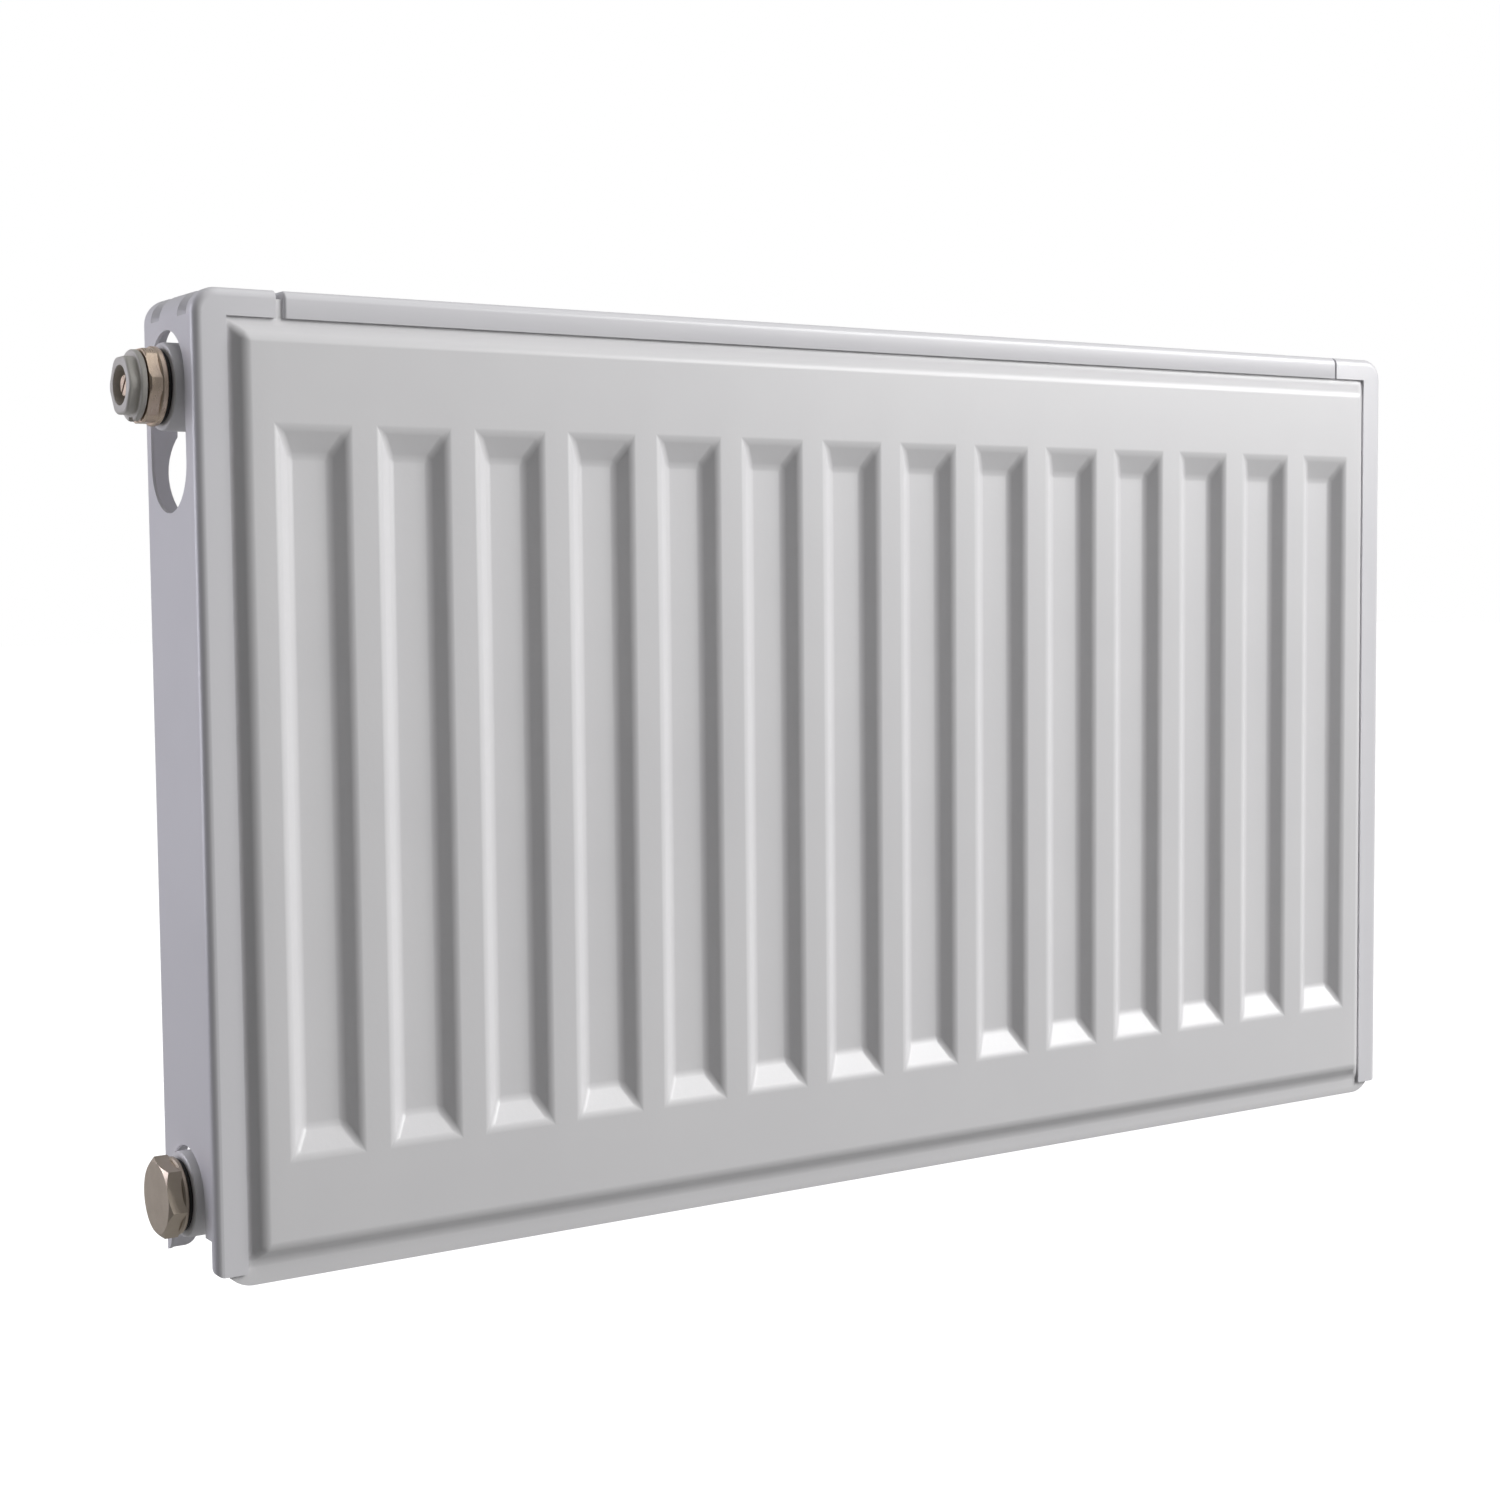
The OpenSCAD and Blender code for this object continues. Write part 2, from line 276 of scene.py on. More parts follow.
# moulded acetal cap: pale warm grey, fine eroded mould grain
capPlastic = makePlain("mouldedAcetal", {
    "light": "#dfdcd5", "deep": "#d3d0c8", "grainMm": 0.5, "roughness": 0.42,
    "bump": 0.12, "ior": 1.48})
# nitrile rubber ring: black with a dull skin
sealRubber = makePlain("nitrileRubber", {
    "light": "#1b1b1c", "deep": "#111112", "grainMm": 0.4, "roughness": 0.55,
    "bump": 0.1, "ior": 1.52})
cutterPaint = panelPaint
print("materials made")


# pressed water panel
panel = {"seam": 7.2, "seamEnd": 8.1, "slope": 4.3, "grooves": 14, "mouth": 11.3, "floor": 6.5,
         "grooveDepth": 4.2, "endGap": 38.3, "endWall": 8.4, "sheet": 1.2,
         "grooveRound": 1.5, "padRound": 1.9, "plateCorner": 10.0, "press": 4.5,
         "fieldSide": 16.0, "fieldEnd": 20.0}


def pressedSkin():
    low, high = boxMm("front_sheet")
    wide, tall = high.x - low.x, high.z - low.z
    ridge, seam = low.y, low.y + panel["press"]
    midX, midZ = (low.x + high.x) / 2, (low.z + high.z) / 2
    bm = bmesh.new()
    turn = Matrix.Translation((midX, seam, midZ)) @ Matrix.Rotation(math.radians(90), 4, "X")
    bmesh.ops.create_grid(bm, x_segments=1, y_segments=1, size=0.5,
                          matrix=turn @ Matrix.Diagonal((wide, tall, 1, 1)))
    bm.normal_update()
    face = bm.faces[:]
    bmesh.ops.inset_region(bm, faces=face, thickness=panel["seam"],
                           use_boundary=True, use_even_offset=True)
    middle = [f for f in bm.faces if near(f.calc_center_median().x, midX)
              and near(f.calc_center_median().z, midZ)]
    for v in middle[0].verts:
        v.co.x += (panel["seamEnd"] - panel["seam"]) * (1 if v.co.x < midX else -1)
    bmesh.ops.inset_region(bm, faces=middle, thickness=panel["slope"], use_even_offset=True)
    pad = min(bm.faces, key=lambda f: (f.calc_center_median() - Vector((midX, seam, midZ))).length)
    bmesh.ops.translate(bm, vec=(0, ridge - seam, 0), verts=pad.verts[:])

    def padFaces():
        return [f for f in bm.faces if all(near(v.co.y, ridge) for v in f.verts)]

    pitch = wide / (panel["grooves"] + 1)
    centres = [low.x + pitch * (i + 1) for i in range(panel["grooves"])]
    for centre in centres:
        for side in (-1, 1):
            cutAcross(bm, padFaces(), (centre + side * panel["mouth"], ridge, midZ), (1, 0, 0))
    for z in (low.z + panel["endGap"], high.z - panel["endGap"]):
        cutAcross(bm, padFaces(), (midX, ridge, z), (0, 0, 1))
    grooves = []
    for f in padFaces():
        middle = f.calc_center_median()
        inRun = low.z + panel["endGap"] < middle.z < high.z - panel["endGap"]
        if inRun and any(abs(middle.x - c) < 1 for c in centres):
            grooves.append(f)
    bmesh.ops.inset_individual(bm, faces=grooves, thickness=panel["mouth"] - panel["floor"],
                               use_even_offset=True)
    for f in grooves:
        for v in f.verts:
            v.co.y += panel["grooveDepth"]
            v.co.z += (panel["endWall"] - panel["mouth"] + panel["floor"]) * (1 if v.co.z < midZ else -1)
    bm.normal_update()

    def inField(e):
        # an edge of a groove, as against one round the pad
        return all(abs(v.co.x - midX) < wide / 2 - panel["fieldSide"]
                   and abs(v.co.z - midZ) < tall / 2 - panel["fieldEnd"] for v in e.verts)

    roundEdges(bm, [e for e in sharpEdges(bm, 12) if inField(e)], panel["grooveRound"], 4)
    bm.normal_update()
    roundEdges(bm, [e for e in sharpEdges(bm, 22) if not inField(e)], panel["padRound"], 4)
    # the plate's own corners, cut to a radius by a ring of planes
    r = panel["plateCorner"]
    for sideX in (-1, 1):
        for sideZ in (-1, 1):
            centre = Vector((midX + sideX * (wide / 2 - r), seam, midZ + sideZ * (tall / 2 - r)))
            for step in range(8):
                a = math.radians((step + 0.5) * 90 / 8)
                outwards = Vector((sideX * math.cos(a), 0, sideZ * math.sin(a)))
                bmesh.ops.bisect_plane(bm, geom=bm.verts[:] + bm.edges[:] + bm.faces[:],
                                       plane_co=centre + outwards * r, plane_no=outwards,
                                       clear_outer=True, dist=0.0001)
    return bm, seam


def addSheetThickness(piece, thickness):
    solid = piece.modifiers.new("sheet", "SOLIDIFY")
    solid.thickness = thickness / 1000
    solid.offset = -1
    even = piece.modifiers.new("shading", "WEIGHTED_NORMAL")
    even.keep_sharp = True


skin, _ = pressedSkin()
frontSheet = toObject("frontSheet", skin, panelPaint, 40)
addSheetThickness(frontSheet, panel["sheet"])
place(frontSheet, "core", "painted", "front_sheet")

skin, seamFront = pressedSkin()
seamMiddle = seamFront + panel["sheet"]
mirrorY = Matrix.Translation((0, 2 * seamMiddle, 0)) @ Matrix.Diagonal((1, -1, 1, 1))
bmesh.ops.transform(skin, matrix=mirrorY, verts=skin.verts)
bmesh.ops.reverse_faces(skin, faces=skin.faces[:])
backSheet = toObject("backSheet", skin, panelPaint, 40)
addSheetThickness(backSheet, panel["sheet"])
place(backSheet, "core", "painted", "back_sheet")
print("pressed panel built")


# side covers
cover = {"sheet": 1.0, "lip": 10.3, "topLip": 8.4, "topRound": 8.0, "edgeRound": 2.8,
         "foot": 11.0, "slotHalf": 15.0, "slotDrop": 23.0, "slotRise": 2.0,
         "dartDepth": 3.8, "dartHalf": 3.8, "dartFront": 9.5, "dartBack": 12.0,
         "footFront": 3.2, "arcReach": 3.2, "lipFootRound": 3.0, "legRound": 4.5}
ventLow, ventHigh = boxMm("vent_cap")
socketY = (ventLow.y + ventHigh.y) / 2
upperZ = (ventLow.z + ventHigh.z) / 2
plugLow, plugHigh = boxMm("blank_plug")
lowerZ = (plugLow.z + plugHigh.z) / 2
# height and radius of the shallow arcs in a rear lip: two by the upper pipe, one by the lower
rearArcs = ((upperZ - 25, 22), (upperZ + 13, 11), (lowerZ + 4, 22))


def slotCutter(outX, zLow, zHigh):
    # an upright slot with round ends, run through the cover's side wall
    bm = bmesh.new()
    lie = Matrix.Translation((outX, socketY, zLow)) @ Matrix.Rotation(math.radians(90), 4, "Y")
    made = bmesh.ops.create_cone(bm, cap_ends=True, segments=64, radius1=cover["slotHalf"],
                                 radius2=cover["slotHalf"], depth=10, matrix=lie)
    for v in made["verts"]:
        if v.co.z > zLow + 0.001:
            v.co.z += zHigh - zLow
    return toObject("cutter", bm, cutterPaint)


def cornerCutter(blockLow, blockHigh, start, radius, axis):
    # all that lies outside a rounded corner: a block less a cylinder
    bm = bmesh.new()
    addBlock(bm, blockLow, blockHigh)
    block = toObject("cutter", bm, cutterPaint)
    carve(block, [cutterFrom([(0, 0), (radius, 0), (radius, 12), (0, 12)], start, axis)])
    return block


def sideCover(node, side):
    low, high = boxMm(node)
    outX = max(abs(low.x), abs(high.x))
    inX = min(abs(low.x), abs(high.x))
    bm = bmesh.new()
    addBlock(bm, (inX, low.y, low.z), (outX, high.y, high.z))
    top = [e for e in bm.edges if all(near(v.co.x, outX) and near(v.co.z, high.z) for v in e.verts)]
    roundEdges(bm, top, cover["topRound"], 12)
    outline = []
    for y in (low.y, high.y):
        for e in bm.edges:
            a, b = e.verts
            if not (near(a.co.y, y) and near(b.co.y, y)):
                continue
            if near(a.co.x, inX) and near(b.co.x, inX):
                continue
            if near(a.co.z, low.z) and near(b.co.z, low.z):
                continue
            outline.append(e)
    roundEdges(bm, outline, cover["edgeRound"], 5)
    # two pressed darts across the top bend
    hub = Vector((outX - cover["topRound"], 0, high.z - cover["topRound"]))
    for dartY in (low.y + cover["dartFront"], high.y - cover["dartBack"]):
        for shift in (-cover["dartHalf"], 0, cover["dartHalf"]):
            bend = [f for f in bm.faces if abs(f.normal.y) < 0.05 and f.normal.x > 0.05 and f.normal.z > 0.05]
            cutAcross(bm, bend, (outX, dartY + shift, high.z), (0, 1, 0))
        for v in bm.verts:
            if near(v.co.y, dartY, 0.001):
                away = Vector((v.co.x - hub.x, 0, v.co.z - hub.z))
                turn = math.atan2(away.z, away.x)
                if 0.05 < turn < 1.52 and near(away.length, cover["topRound"], 0.5):
                    v.co -= away.normalized() * cover["dartDepth"] * math.sin(2 * turn) ** 0.5
    ends = [f for f in bm.faces if all(near(v.co.z, low.z) for v in f.verts)
            or all(near(v.co.x, inX) for v in f.verts)]
    bmesh.ops.delete(bm, geom=ends, context="FACES")
    # windows in the front and the back leave the lips
    inner = outX - cover["lip"]
    for point, normal in (((inner, 0, 0), (1, 0, 0)),
                          ((0, 0, high.z - cover["topLip"]), (0, 0, 1))):
        flats = [f for f in bm.faces if abs(f.normal.y) > 0.99]
        cutAcross(bm, flats, point, normal)
    windows = []
    for f in bm.faces:
        c = f.calc_center_median()
        if abs(f.normal.y) > 0.99 and c.x < inner and c.z < high.z - cover["topLip"]:
            windows.append(f)
    bmesh.ops.delete(bm, geom=windows, context="FACES")
    piece = toObject(node.split("_")[0] + "Cover", bm, coverPaint, 35)
    solid = piece.modifiers.new("sheet", "SOLIDIFY")
    solid.thickness = cover["sheet"] / 1000
    solid.offset = -1
    applyModifiers(piece)
    # the side wall's front part stops above the foot of the front lip; the cut ends inside the slot
    footCutter = bmesh.new()
    addBlock(footCutter, (inner - 2, low.y + cover["footFront"], low.z - 5),
             (outX + 5, socketY + 5, low.z + cover["foot"]))
    cutters = [slotCutter(outX, upperZ - cover["slotDrop"], upperZ + cover["slotRise"]),
               slotCutter(outX, low.z - 30, lowerZ),
               toObject("cutter", footCutter, cutterPaint)]
    for z, r in rearArcs:
        cutters.append(cutterFrom([(0, 0), (r, 0), (r, 8), (0, 8)],
                                  (inner + cover["arcReach"] - r, high.y - 4, z), (0, 1, 0)))
    # the bottom corners of the front lip and of the rear leg are rounded off
    r = cover["lipFootRound"]
    cutters.append(cornerCutter((outX - r, low.y - 1, low.z - 1), (outX + 1, low.y + 4, low.z + r),
                                (outX - r, low.y - 3, low.z + r), r, (0, 1, 0)))
    legFront = socketY + cover["slotHalf"]
    r = cover["legRound"]
    cutters.append(cornerCutter((outX - 2, legFront - 1, low.z - 1), (outX + 1, legFront + r, low.z + r),
                                (outX - 3, legFront + r, low.z + r), r, (1, 0, 0)))
    cutters.append(cornerCutter((inner - 1, high.y - 2, low.z - 1), (inner + r, high.y + 1, low.z + r),
                                (inner + r, high.y - 4, low.z + r), r, (0, 1, 0)))
    carve(piece, cutters, smoothAngle=35)
    if side < 0:
        piece.data.transform(Matrix.Diagonal((-1, 1, 1, 1)))
        piece.data.flip_normals()
    even = piece.modifiers.new("shading", "WEIGHTED_NORMAL")
    even.keep_sharp = True
    return piece


place(sideCover("left_cover", -1), "left_end", "cover_paint", "left_cover")
place(sideCover("right_cover", 1), "right_end", "cover_paint", "right_cover")
print("side covers built")


# top grille
grille = {"sheet": 1.0, "lip": 8.4, "edgeRound": 2.8, "slots": 26, "endGap": 8.0,
          "bar": 6.0, "firstRow": 5.0, "rowStep": 18.0, "slotLong": 16.0, "endRound": 1.0}


def topGrille():
    low, high = boxMm("top_grille")
    bm = bmesh.new()
    addBlock(bm, (low.x, low.y, high.z - grille["lip"]), (high.x, high.y, high.z))
    bm.normal_update()
    bends = [e for e in bm.edges if all(near(v.co.z, high.z) for v in e.verts)
             and near(e.verts[0].co.y, e.verts[1].co.y)]
    roundEdges(bm, bends, grille["edgeRound"], 5)
    ends = [e for e in bm.edges if any(all(near(v.co.x, x) for v in e.verts) for x in (low.x, high.x))
            and not all(near(v.co.z, high.z - grille["lip"]) for v in e.verts)]
    roundEdges(bm, ends, grille["endRound"], 3)
    underside = [f for f in bm.faces if all(near(v.co.z, high.z - grille["lip"]) for v in f.verts)]
    bmesh.ops.delete(bm, geom=underside, context="FACES")
    step = (high.x - low.x - 2 * grille["endGap"]) / grille["slots"]
    starts = [low.x + grille["endGap"] + i * step for i in range(grille["slots"])]
    spansX = [(x + grille["bar"] / 2, x + step - grille["bar"] / 2) for x in starts]
    rows = [low.y + grille["firstRow"] + row * grille["rowStep"] for row in (0, 1)]
    spansY = [(y, y + grille["slotLong"]) for y in rows]

    def cutTop(point, normal):
        flats = [f for f in bm.faces if all(near(v.co.z, high.z) for v in f.verts)]
        cutAcross(bm, flats, point, normal)

    for span in spansY:
        for y in span:
            cutTop((0, y, high.z), (0, 1, 0))
    for span in spansX:
        for x in span:
            cutTop((x, 0, high.z), (1, 0, 0))
    holes = []
    for f in bm.faces:
        c = f.calc_center_median()
        inRow = any(a < c.y < b for a, b in spansY)
        if near(c.z, high.z) and inRow and any(a < c.x < b for a, b in spansX):
            holes.append(f)
    bmesh.ops.delete(bm, geom=holes, context="FACES")
    piece = toObject("topGrille", bm, coverPaint, 35)
    addSheetThickness(piece, grille["sheet"])
    return place(piece, "grille", "cover_paint", "top_grille")


topGrille()
print("grille built")


# threaded sockets
socket = {"radius": 13.3, "length": 29.5, "standOut": 4.6, "crest": 9.32, "root": 10.3, "pitch": 1.814,
          "threadEnd": 17.0, "waterway": 6.0, "endWall": 2.0, "neck": 8.0, "neckFlare": 2.5}


def threadedSocket(node, name, side):
    low, high = boxMm(node)
    endX = high.x if side > 0 else low.x
    middle = (low.z + high.z) / 2
    z = upperZ if abs(middle - upperZ) < abs(middle - lowerZ) else lowerZ
    profile = [(socket["root"] + 0.5, 0), (socket["radius"] - 0.8, 0), (socket["radius"] - 0.25, 0.25),
               (socket["radius"], 0.8), (socket["radius"], socket["length"] - 1),
               (socket["radius"] - 1, socket["length"]), (0, socket["length"]),
               (0, socket["length"] - socket["endWall"]),
               (socket["waterway"], socket["length"] - socket["endWall"]),
               (socket["waterway"], socket["threadEnd"]), (socket["crest"], socket["threadEnd"])]
    turns = int((socket["threadEnd"] - 2) / socket["pitch"])
    for i in range(turns):
        start = socket["threadEnd"] - 0.2 - i * socket["pitch"]
        profile.append((socket["crest"], start - 0.25))
        profile.append((socket["root"], start - socket["pitch"] / 2))
        profile.append((socket["crest"], start - socket["pitch"] + 0.25))
    profile.append(profile[0])
    bm = bmesh.new()
    centre = Vector((endX, socketY, z))
    lathe(bm, profile, centre, (-side, 0, 0))
    neckX = endX - side * (socket["length"] / 2 + socket["neck"] + socket["standOut"])
    wall = boxMm("back_sheet")[1].y
    reach = socketY - wall
    flare = socket["neckFlare"]
    lathe(bm, [(0, 0), (socket["neck"] + flare, 0), (socket["neck"] + flare * 0.35, flare * 0.35),
               (socket["neck"], flare), (socket["neck"], reach - 7), (0, reach - 7)],
          (neckX, wall, z), (0, 1, 0), 48)
    piece = toObject(name, bm, panelPaint, 35)
    place(piece, "core", "painted", node)


for node, name, side in (("socket_ul", "socketUpperLeft", -1), ("socket_ll", "socketLowerLeft", -1),
                         ("socket_ur", "socketUpperRight", 1), ("socket_lr", "socketLowerRight", 1)):
    threadedSocket(node, name, side)
print("sockets built")


# air vent and blanking plug
vent = {"flange": 12.0, "flangeThick": 2.0, "hexFlats": 22.0, "hexStart": 1.2, "hexEnd": 5.7,
        "turned": 11.75, "turnedFront": 11.3, "stem": 7.2, "stemEnd": 7.4, "bore": 4.2,
        "boreFloor": 1.6, "tail": 14.0, "tailRadius": 9.1}
ventX = boxMm("vent_body")[1].x - vent["tail"]


def hexPrism(bm, flats, start, end, centre, degrees):
    # lies along -X, turned about its own axis by these degrees
    depth = end - start
    turn = Matrix.Rotation(math.radians(-90), 4, "Y") @ Matrix.Rotation(math.radians(degrees), 4, "Z")
    spot = Matrix.Translation(Vector(centre) + Vector((-(start + depth / 2), 0, 0)))
    bmesh.ops.create_cone(bm, cap_ends=True, segments=6, radius1=flats / math.sqrt(3),
                          radius2=flats / math.sqrt(3), depth=depth, matrix=spot @ turn)


def tailProfile(radius, length, pitch=1.814):
    # a plug's threaded tail, as rings
    points = [(0, -length), (radius - 1.2, -length)]
    for i in range(int((length - 1.5) / pitch)):
        points.append((radius - 0.9, -length + 0.6 + i * pitch))
        points.append((radius, -length + 0.6 + (i + 0.5) * pitch))
    points.append((radius - 0.9, -0.4))
    return points


def ventBody():
    centre = (ventX, socketY, upperZ)
    bm = bmesh.new()
    hexPrism(bm, vent["hexFlats"], vent["hexStart"], vent["hexEnd"], centre, 0)
    head = toObject("ventHex", bm, ventNickel)
    # the hexagon is turned down to a cylinder, so its flats have round ends
    keep = cutterFrom([(0, 0), (vent["turned"], 0), (vent["turned"], vent["hexEnd"] - 0.5),
                       (vent["turnedFront"], vent["hexEnd"]), (0, vent["hexEnd"] + 0.001)],
                      centre, (-1, 0, 0), 96)
    carve(head, [keep], "INTERSECT", 30)
    bm = bmesh.new()
    profile = tailProfile(vent["tailRadius"], vent["tail"])
    profile += [(vent["tailRadius"] - 0.9, 0), (vent["flange"] - 0.3, 0), (vent["flange"], 0.3),
                (vent["flange"], vent["flangeThick"] - 0.4), (vent["flange"] - 0.4, vent["flangeThick"]),
                (vent["stem"], vent["flangeThick"]), (vent["stem"], vent["stemEnd"] - 0.4),
                (vent["stem"] - 0.4, vent["stemEnd"]), (vent["bore"] + 0.3, vent["stemEnd"]),
                (vent["bore"], vent["stemEnd"] - 0.3), (vent["bore"], vent["boreFloor"]),
                (0, vent["boreFloor"])]
    lathe(bm, profile, centre, (-1, 0, 0))
    turned = toObject("ventTurned", bm, ventNickel, 30)
    body = joinSkins("ventBody", (head, turned), ventNickel)
    softenEdges(body, 0.15)
    return place(body, "core", "vent_nickel", "vent_body")


cap = {"rim": 10.8, "rimThick": 2.0, "flats": 17.2, "hexStart": 1.5, "cornerRound": 2.2,
       "frontRound": 0.9, "bore": 6.0, "recess": 7.5, "recessDepth": 1.8,
       "notchHalf": 1.6, "notchDepth": 2.6, "notchFloor": 9.4}


def ventCap():
    low, high = boxMm("vent_cap")
    length = high.x - low.x
    centre = (high.x, socketY, upperZ)
    bm = bmesh.new()
    lathe(bm, [(0, 0), (cap["rim"] - 0.2, 0), (cap["rim"], 0.3), (cap["rim"], cap["rimThick"] - 0.4),
               (cap["rim"] - 0.4, cap["rimThick"]), (0, cap["rimThick"])], centre, (-1, 0, 0))
    rim = toObject("capRim", bm, capPlastic, 30)
    bm = bmesh.new()
    hexPrism(bm, cap["flats"], cap["hexStart"], length, centre, 0)
    bm.normal_update()
    upright = [e for e in bm.edges if not near(e.verts[0].co.x, e.verts[1].co.x)]
    roundEdges(bm, upright, cap["cornerRound"], 5)
    front = [e for e in bm.edges if all(near(v.co.x, low.x) for v in e.verts)]
    roundEdges(bm, front, cap["frontRound"], 3)
    body = toObject("ventCap", bm, capPlastic, 30)
    carve(body, [rim], "UNION", 30)
    hollow = cutterFrom([(0, -1), (cap["recess"], -1), (cap["recess"], cap["recessDepth"]),
                         (cap["bore"], cap["recessDepth"]), (cap["bore"], 12), (0, 12)],
                        centre, (-1, 0, 0))
    # a drain notch in the rim
    notch = bmesh.new()
    addBlock(notch, (high.x - cap["notchDepth"], socketY - cap["notchHalf"], upperZ - 12),
             (high.x + 1, socketY + cap["notchHalf"], upperZ - cap["notchFloor"]))
    carve(body, [hollow, toObject("cutter", notch, cutterPaint)], "DIFFERENCE", 30)
    softenEdges(body, 0.25)
    return place(body, "cap", "cap_plastic", "vent_cap")


spindle = {"collar": 3.9, "collarEnd": 4.0, "neck": 2.4, "head": 3.4, "headLong": 2.4,
           "slotHalf": 0.5, "slotDeep": 1.6, "slotTurn": -48}


def ventSpindle():
    low, high = boxMm("vent_spindle")
    length = high.x - low.x
    centre = (high.x, socketY, upperZ)
    bm = bmesh.new()
    headStart = length - spindle["headLong"]
    lathe(bm, [(0, 0), (spindle["collar"], 0), (spindle["collar"], spindle["collarEnd"] - 0.3),
               (spindle["collar"] - 0.3, spindle["collarEnd"]), (spindle["neck"], spindle["collarEnd"]),
               (spindle["neck"], headStart), (spindle["head"], headStart),
               (spindle["head"], length - 0.35), (spindle["head"] - 0.35, length), (0, length)],
          centre, (-1, 0, 0), 40)
    piece = toObject("ventSpindle", bm, ventNickel, 30)
    slot = bmesh.new()
    verts = addBlock(slot, (-spindle["slotDeep"], -4, -spindle["slotHalf"]),
                     (spindle["slotDeep"], 4, spindle["slotHalf"]))
    tilt = Matrix.Rotation(math.radians(spindle["slotTurn"]), 4, "X")
    bmesh.ops.transform(slot, matrix=Matrix.Translation((low.x, socketY, upperZ)) @ tilt, verts=verts)
    carve(piece, [toObject("cutter", slot, cutterPaint)], "DIFFERENCE", 30)
    return place(piece, "spindle", "vent_nickel", "vent_spindle")


plug = {"flats": 22.0, "hexStart": 1.2, "face": 6.4, "faceEdge": 11.0, "corner": 13.2,
        "chamfer": 1.4, "turn": -12, "flange": 12.0, "flangeThick": 1.7, "tail": 14.0,
        "tailRadius": 9.1}


def blankPlug():
    centre = (plugHigh.x - plug["tail"], socketY, lowerZ)
    bm = bmesh.new()
    hexPrism(bm, plug["flats"], plug["hexStart"], plug["face"], centre, plug["turn"])
    head = toObject("blankPlug", bm, plugNickel, 30)
    keep = cutterFrom([(0, 0), (plug["corner"], 0), (plug["corner"], plug["face"] - plug["chamfer"]),
                       (plug["faceEdge"], plug["face"]), (0, plug["face"] + 0.001)],
                      centre, (-1, 0, 0), 96)
    carve(head, [keep], "INTERSECT", 30)
    bm = bmesh.new()
    profile = tailProfile(plug["tailRadius"], plug["tail"])
    profile += [(plug["tailRadius"] - 0.9, 0), (plug["flange"] - 0.4, 0), (plug["flange"], 0.4),
                (plug["flange"], plug["flangeThick"] - 0.5), (plug["flange"] - 0.5, plug["flangeThick"]),
                (0, plug["flangeThick"])]
    lathe(bm, profile, centre, (-1, 0, 0))
    turned = toObject("tail", bm, plugNickel, 30)
    piece = joinSkins("blankPlug", (head, turned), plugNickel)
    softenEdges(piece, 0.2)
    return place(piece, "core", "plug_nickel", "blank_plug")


ventBody()
ventCap()
ventSpindle()
blankPlug()
print("vent and plug built")


# CAD nodes kept as they are get their finish here
kept = {"convector": foldPaint, "lug_ul": panelPaint, "lug_ur": panelPaint,
        "lug_ll": panelPaint, "lug_lr": panelPaint, "left_cover_clip": springSteel,
        "right_cover_clip": springSteel, "grille_clip_left": springSteel,
        "grille_clip_right": springSteel, "vent_o_ring": sealRubber, "blank_o_ring": sealRubber}
for node, finish in kept.items():
    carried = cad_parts[node]
    carried.data.materials.clear()
    carried.data.materials.append(finish)


# floor, light and camera: lengths in metres, the lens in millimetres, angles in radians
studio = {"floorDrop": 0.45, "ambient": 0.36, "shade": 0.09, "keyWatts": 49, "topWatts": 5,
          "backWatts": 15, "flagWay": (-0.72, -0.68, 0.0)}
view = {"yaw": 0.58174, "pitch": -0.06721, "roll": -0.00922, "lens": 57.6,
        "spot": (-0.50781, -0.70853, -0.06535)}


def areaLight(name, spot, target, size, watts, colour="#ffffff"):
    data = bpy.data.lights.new(name, "AREA")
    data.shape, data.size, data.energy = "SQUARE", size, watts
    data.color = linear(colour)[:3]
    lamp = bpy.data.objects.new(name, data)
    bpy.context.scene.collection.objects.link(lamp)
    lamp.location = spot
    lamp.rotation_euler = (Vector(target) - Vector(spot)).to_track_quat("-Z", "Y").to_euler()


bm = bmesh.new()
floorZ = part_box("front_sheet")[0].z - studio["floorDrop"]
bmesh.ops.create_grid(bm, x_segments=1, y_segments=1, size=30, matrix=Matrix.Translation((0, 0, floorZ)))
floorMesh = bpy.data.meshes.new("floor")
bm.to_mesh(floorMesh)
bm.free()
floor = bpy.data.objects.new("floor", floorMesh)
bpy.context.scene.collection.objects.link(floor)
# matt studio floor paint, pale
floorMaterial, *_, floorShader, _ = startMaterial("studioFloor")
floorShader.inputs["Base Color"].default_value = (0.92, 0.92, 0.92, 1)
floorShader.inputs["Roughness"].default_value = 0.9
floorShader.inputs["Emission Color"].default_value = (1, 1, 1, 1)
floorShader.inputs["Emission Strength"].default_value = 0.8
floorMesh.materials.append(floorMaterial)
# the floor is lit from within, so it stays pale; it throws no light back up at the radiator
floor.visible_diffuse = False
floor.visible_glossy = False

world = bpy.data.worlds.new("studio")
bpy.context.scene.world = world
world.use_nodes = True
worldTree = world.node_tree
worldTree.nodes.clear()
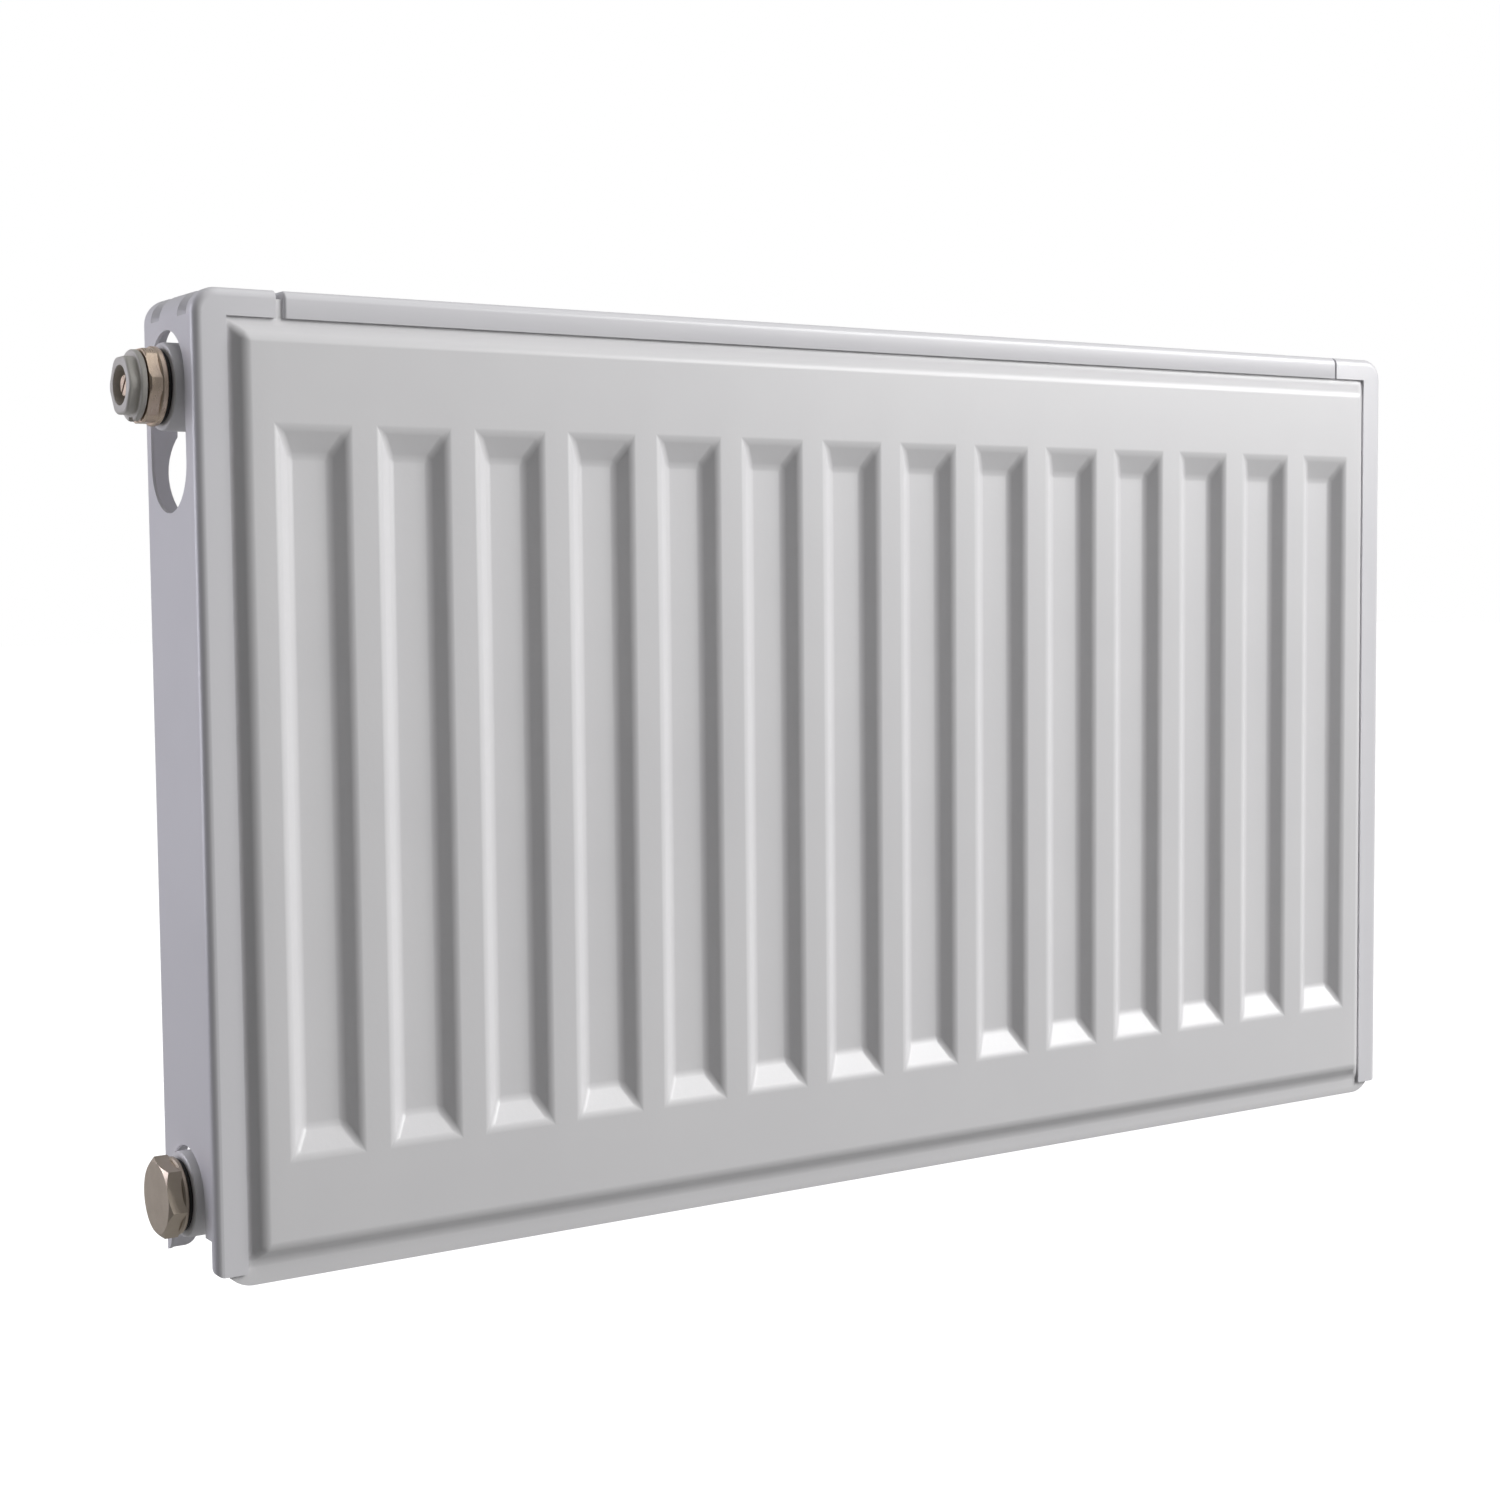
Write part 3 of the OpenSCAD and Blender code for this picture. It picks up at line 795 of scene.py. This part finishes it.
# a dark flag stands at the front left, as in a product studio; the backdrop itself stays white
skyWay = addNode(worldTree, "ShaderNodeTexCoord").outputs["Generated"]
towardsFlag = addNode(worldTree, "ShaderNodeVectorMath", {"operation": "DOT_PRODUCT"}, {
    0: skyWay, 1: studio["flagWay"]})
ambient = addNode(worldTree, "ShaderNodeMapRange", inputs={
    "Value": towardsFlag.outputs["Value"], "From Min": 0.0, "From Max": 0.8,
    "To Min": studio["ambient"], "To Max": studio["shade"]})
seen = addNode(worldTree, "ShaderNodeLightPath")
bright = addNode(worldTree, "ShaderNodeMix", {"data_type": "FLOAT"}, {
    "Factor": seen.outputs["Is Camera Ray"], 2: ambient.outputs[0], 3: 1.0})
sky = addNode(worldTree, "ShaderNodeBackground", inputs={
    "Color": (1, 1, 1, 1), "Strength": bright.outputs[0]})
addNode(worldTree, "ShaderNodeOutputWorld", inputs={"Surface": sky.outputs[0]})

areaLight("key", (1.7, -1.5, 0.9), (0, 0, -0.15), 1.4, studio["keyWatts"])
areaLight("top", (0.2, -0.5, 1.6), (0, 0, -0.15), 1.6, studio["topWatts"])
areaLight("backLeft", (-1.6, 1.1, 0.2), (-0.2, 0, -0.1), 1.2, studio["backWatts"], "#f2f0ff")

yaw, pitch, roll = view["yaw"], view["pitch"], view["roll"]
forward = Vector((math.sin(yaw) * math.cos(pitch), math.cos(yaw) * math.cos(pitch), math.sin(pitch)))
right = Vector((math.cos(yaw), -math.sin(yaw), 0))
up = right.cross(forward)
rolledRight = right * math.cos(roll) + up * math.sin(roll)
rolledUp = up * math.cos(roll) - right * math.sin(roll)
cameraData = bpy.data.cameras.new("camera")
cameraData.sensor_width = 36
cameraData.lens = view["lens"]
camera = bpy.data.objects.new("camera", cameraData)
bpy.context.scene.collection.objects.link(camera)
turn = Matrix((rolledRight, rolledUp, -forward)).transposed().to_4x4()
camera.matrix_world = Matrix.Translation(view["spot"]) @ turn
bpy.context.scene.camera = camera
bpy.context.scene.view_settings.view_transform = "Standard"
print("studio set")
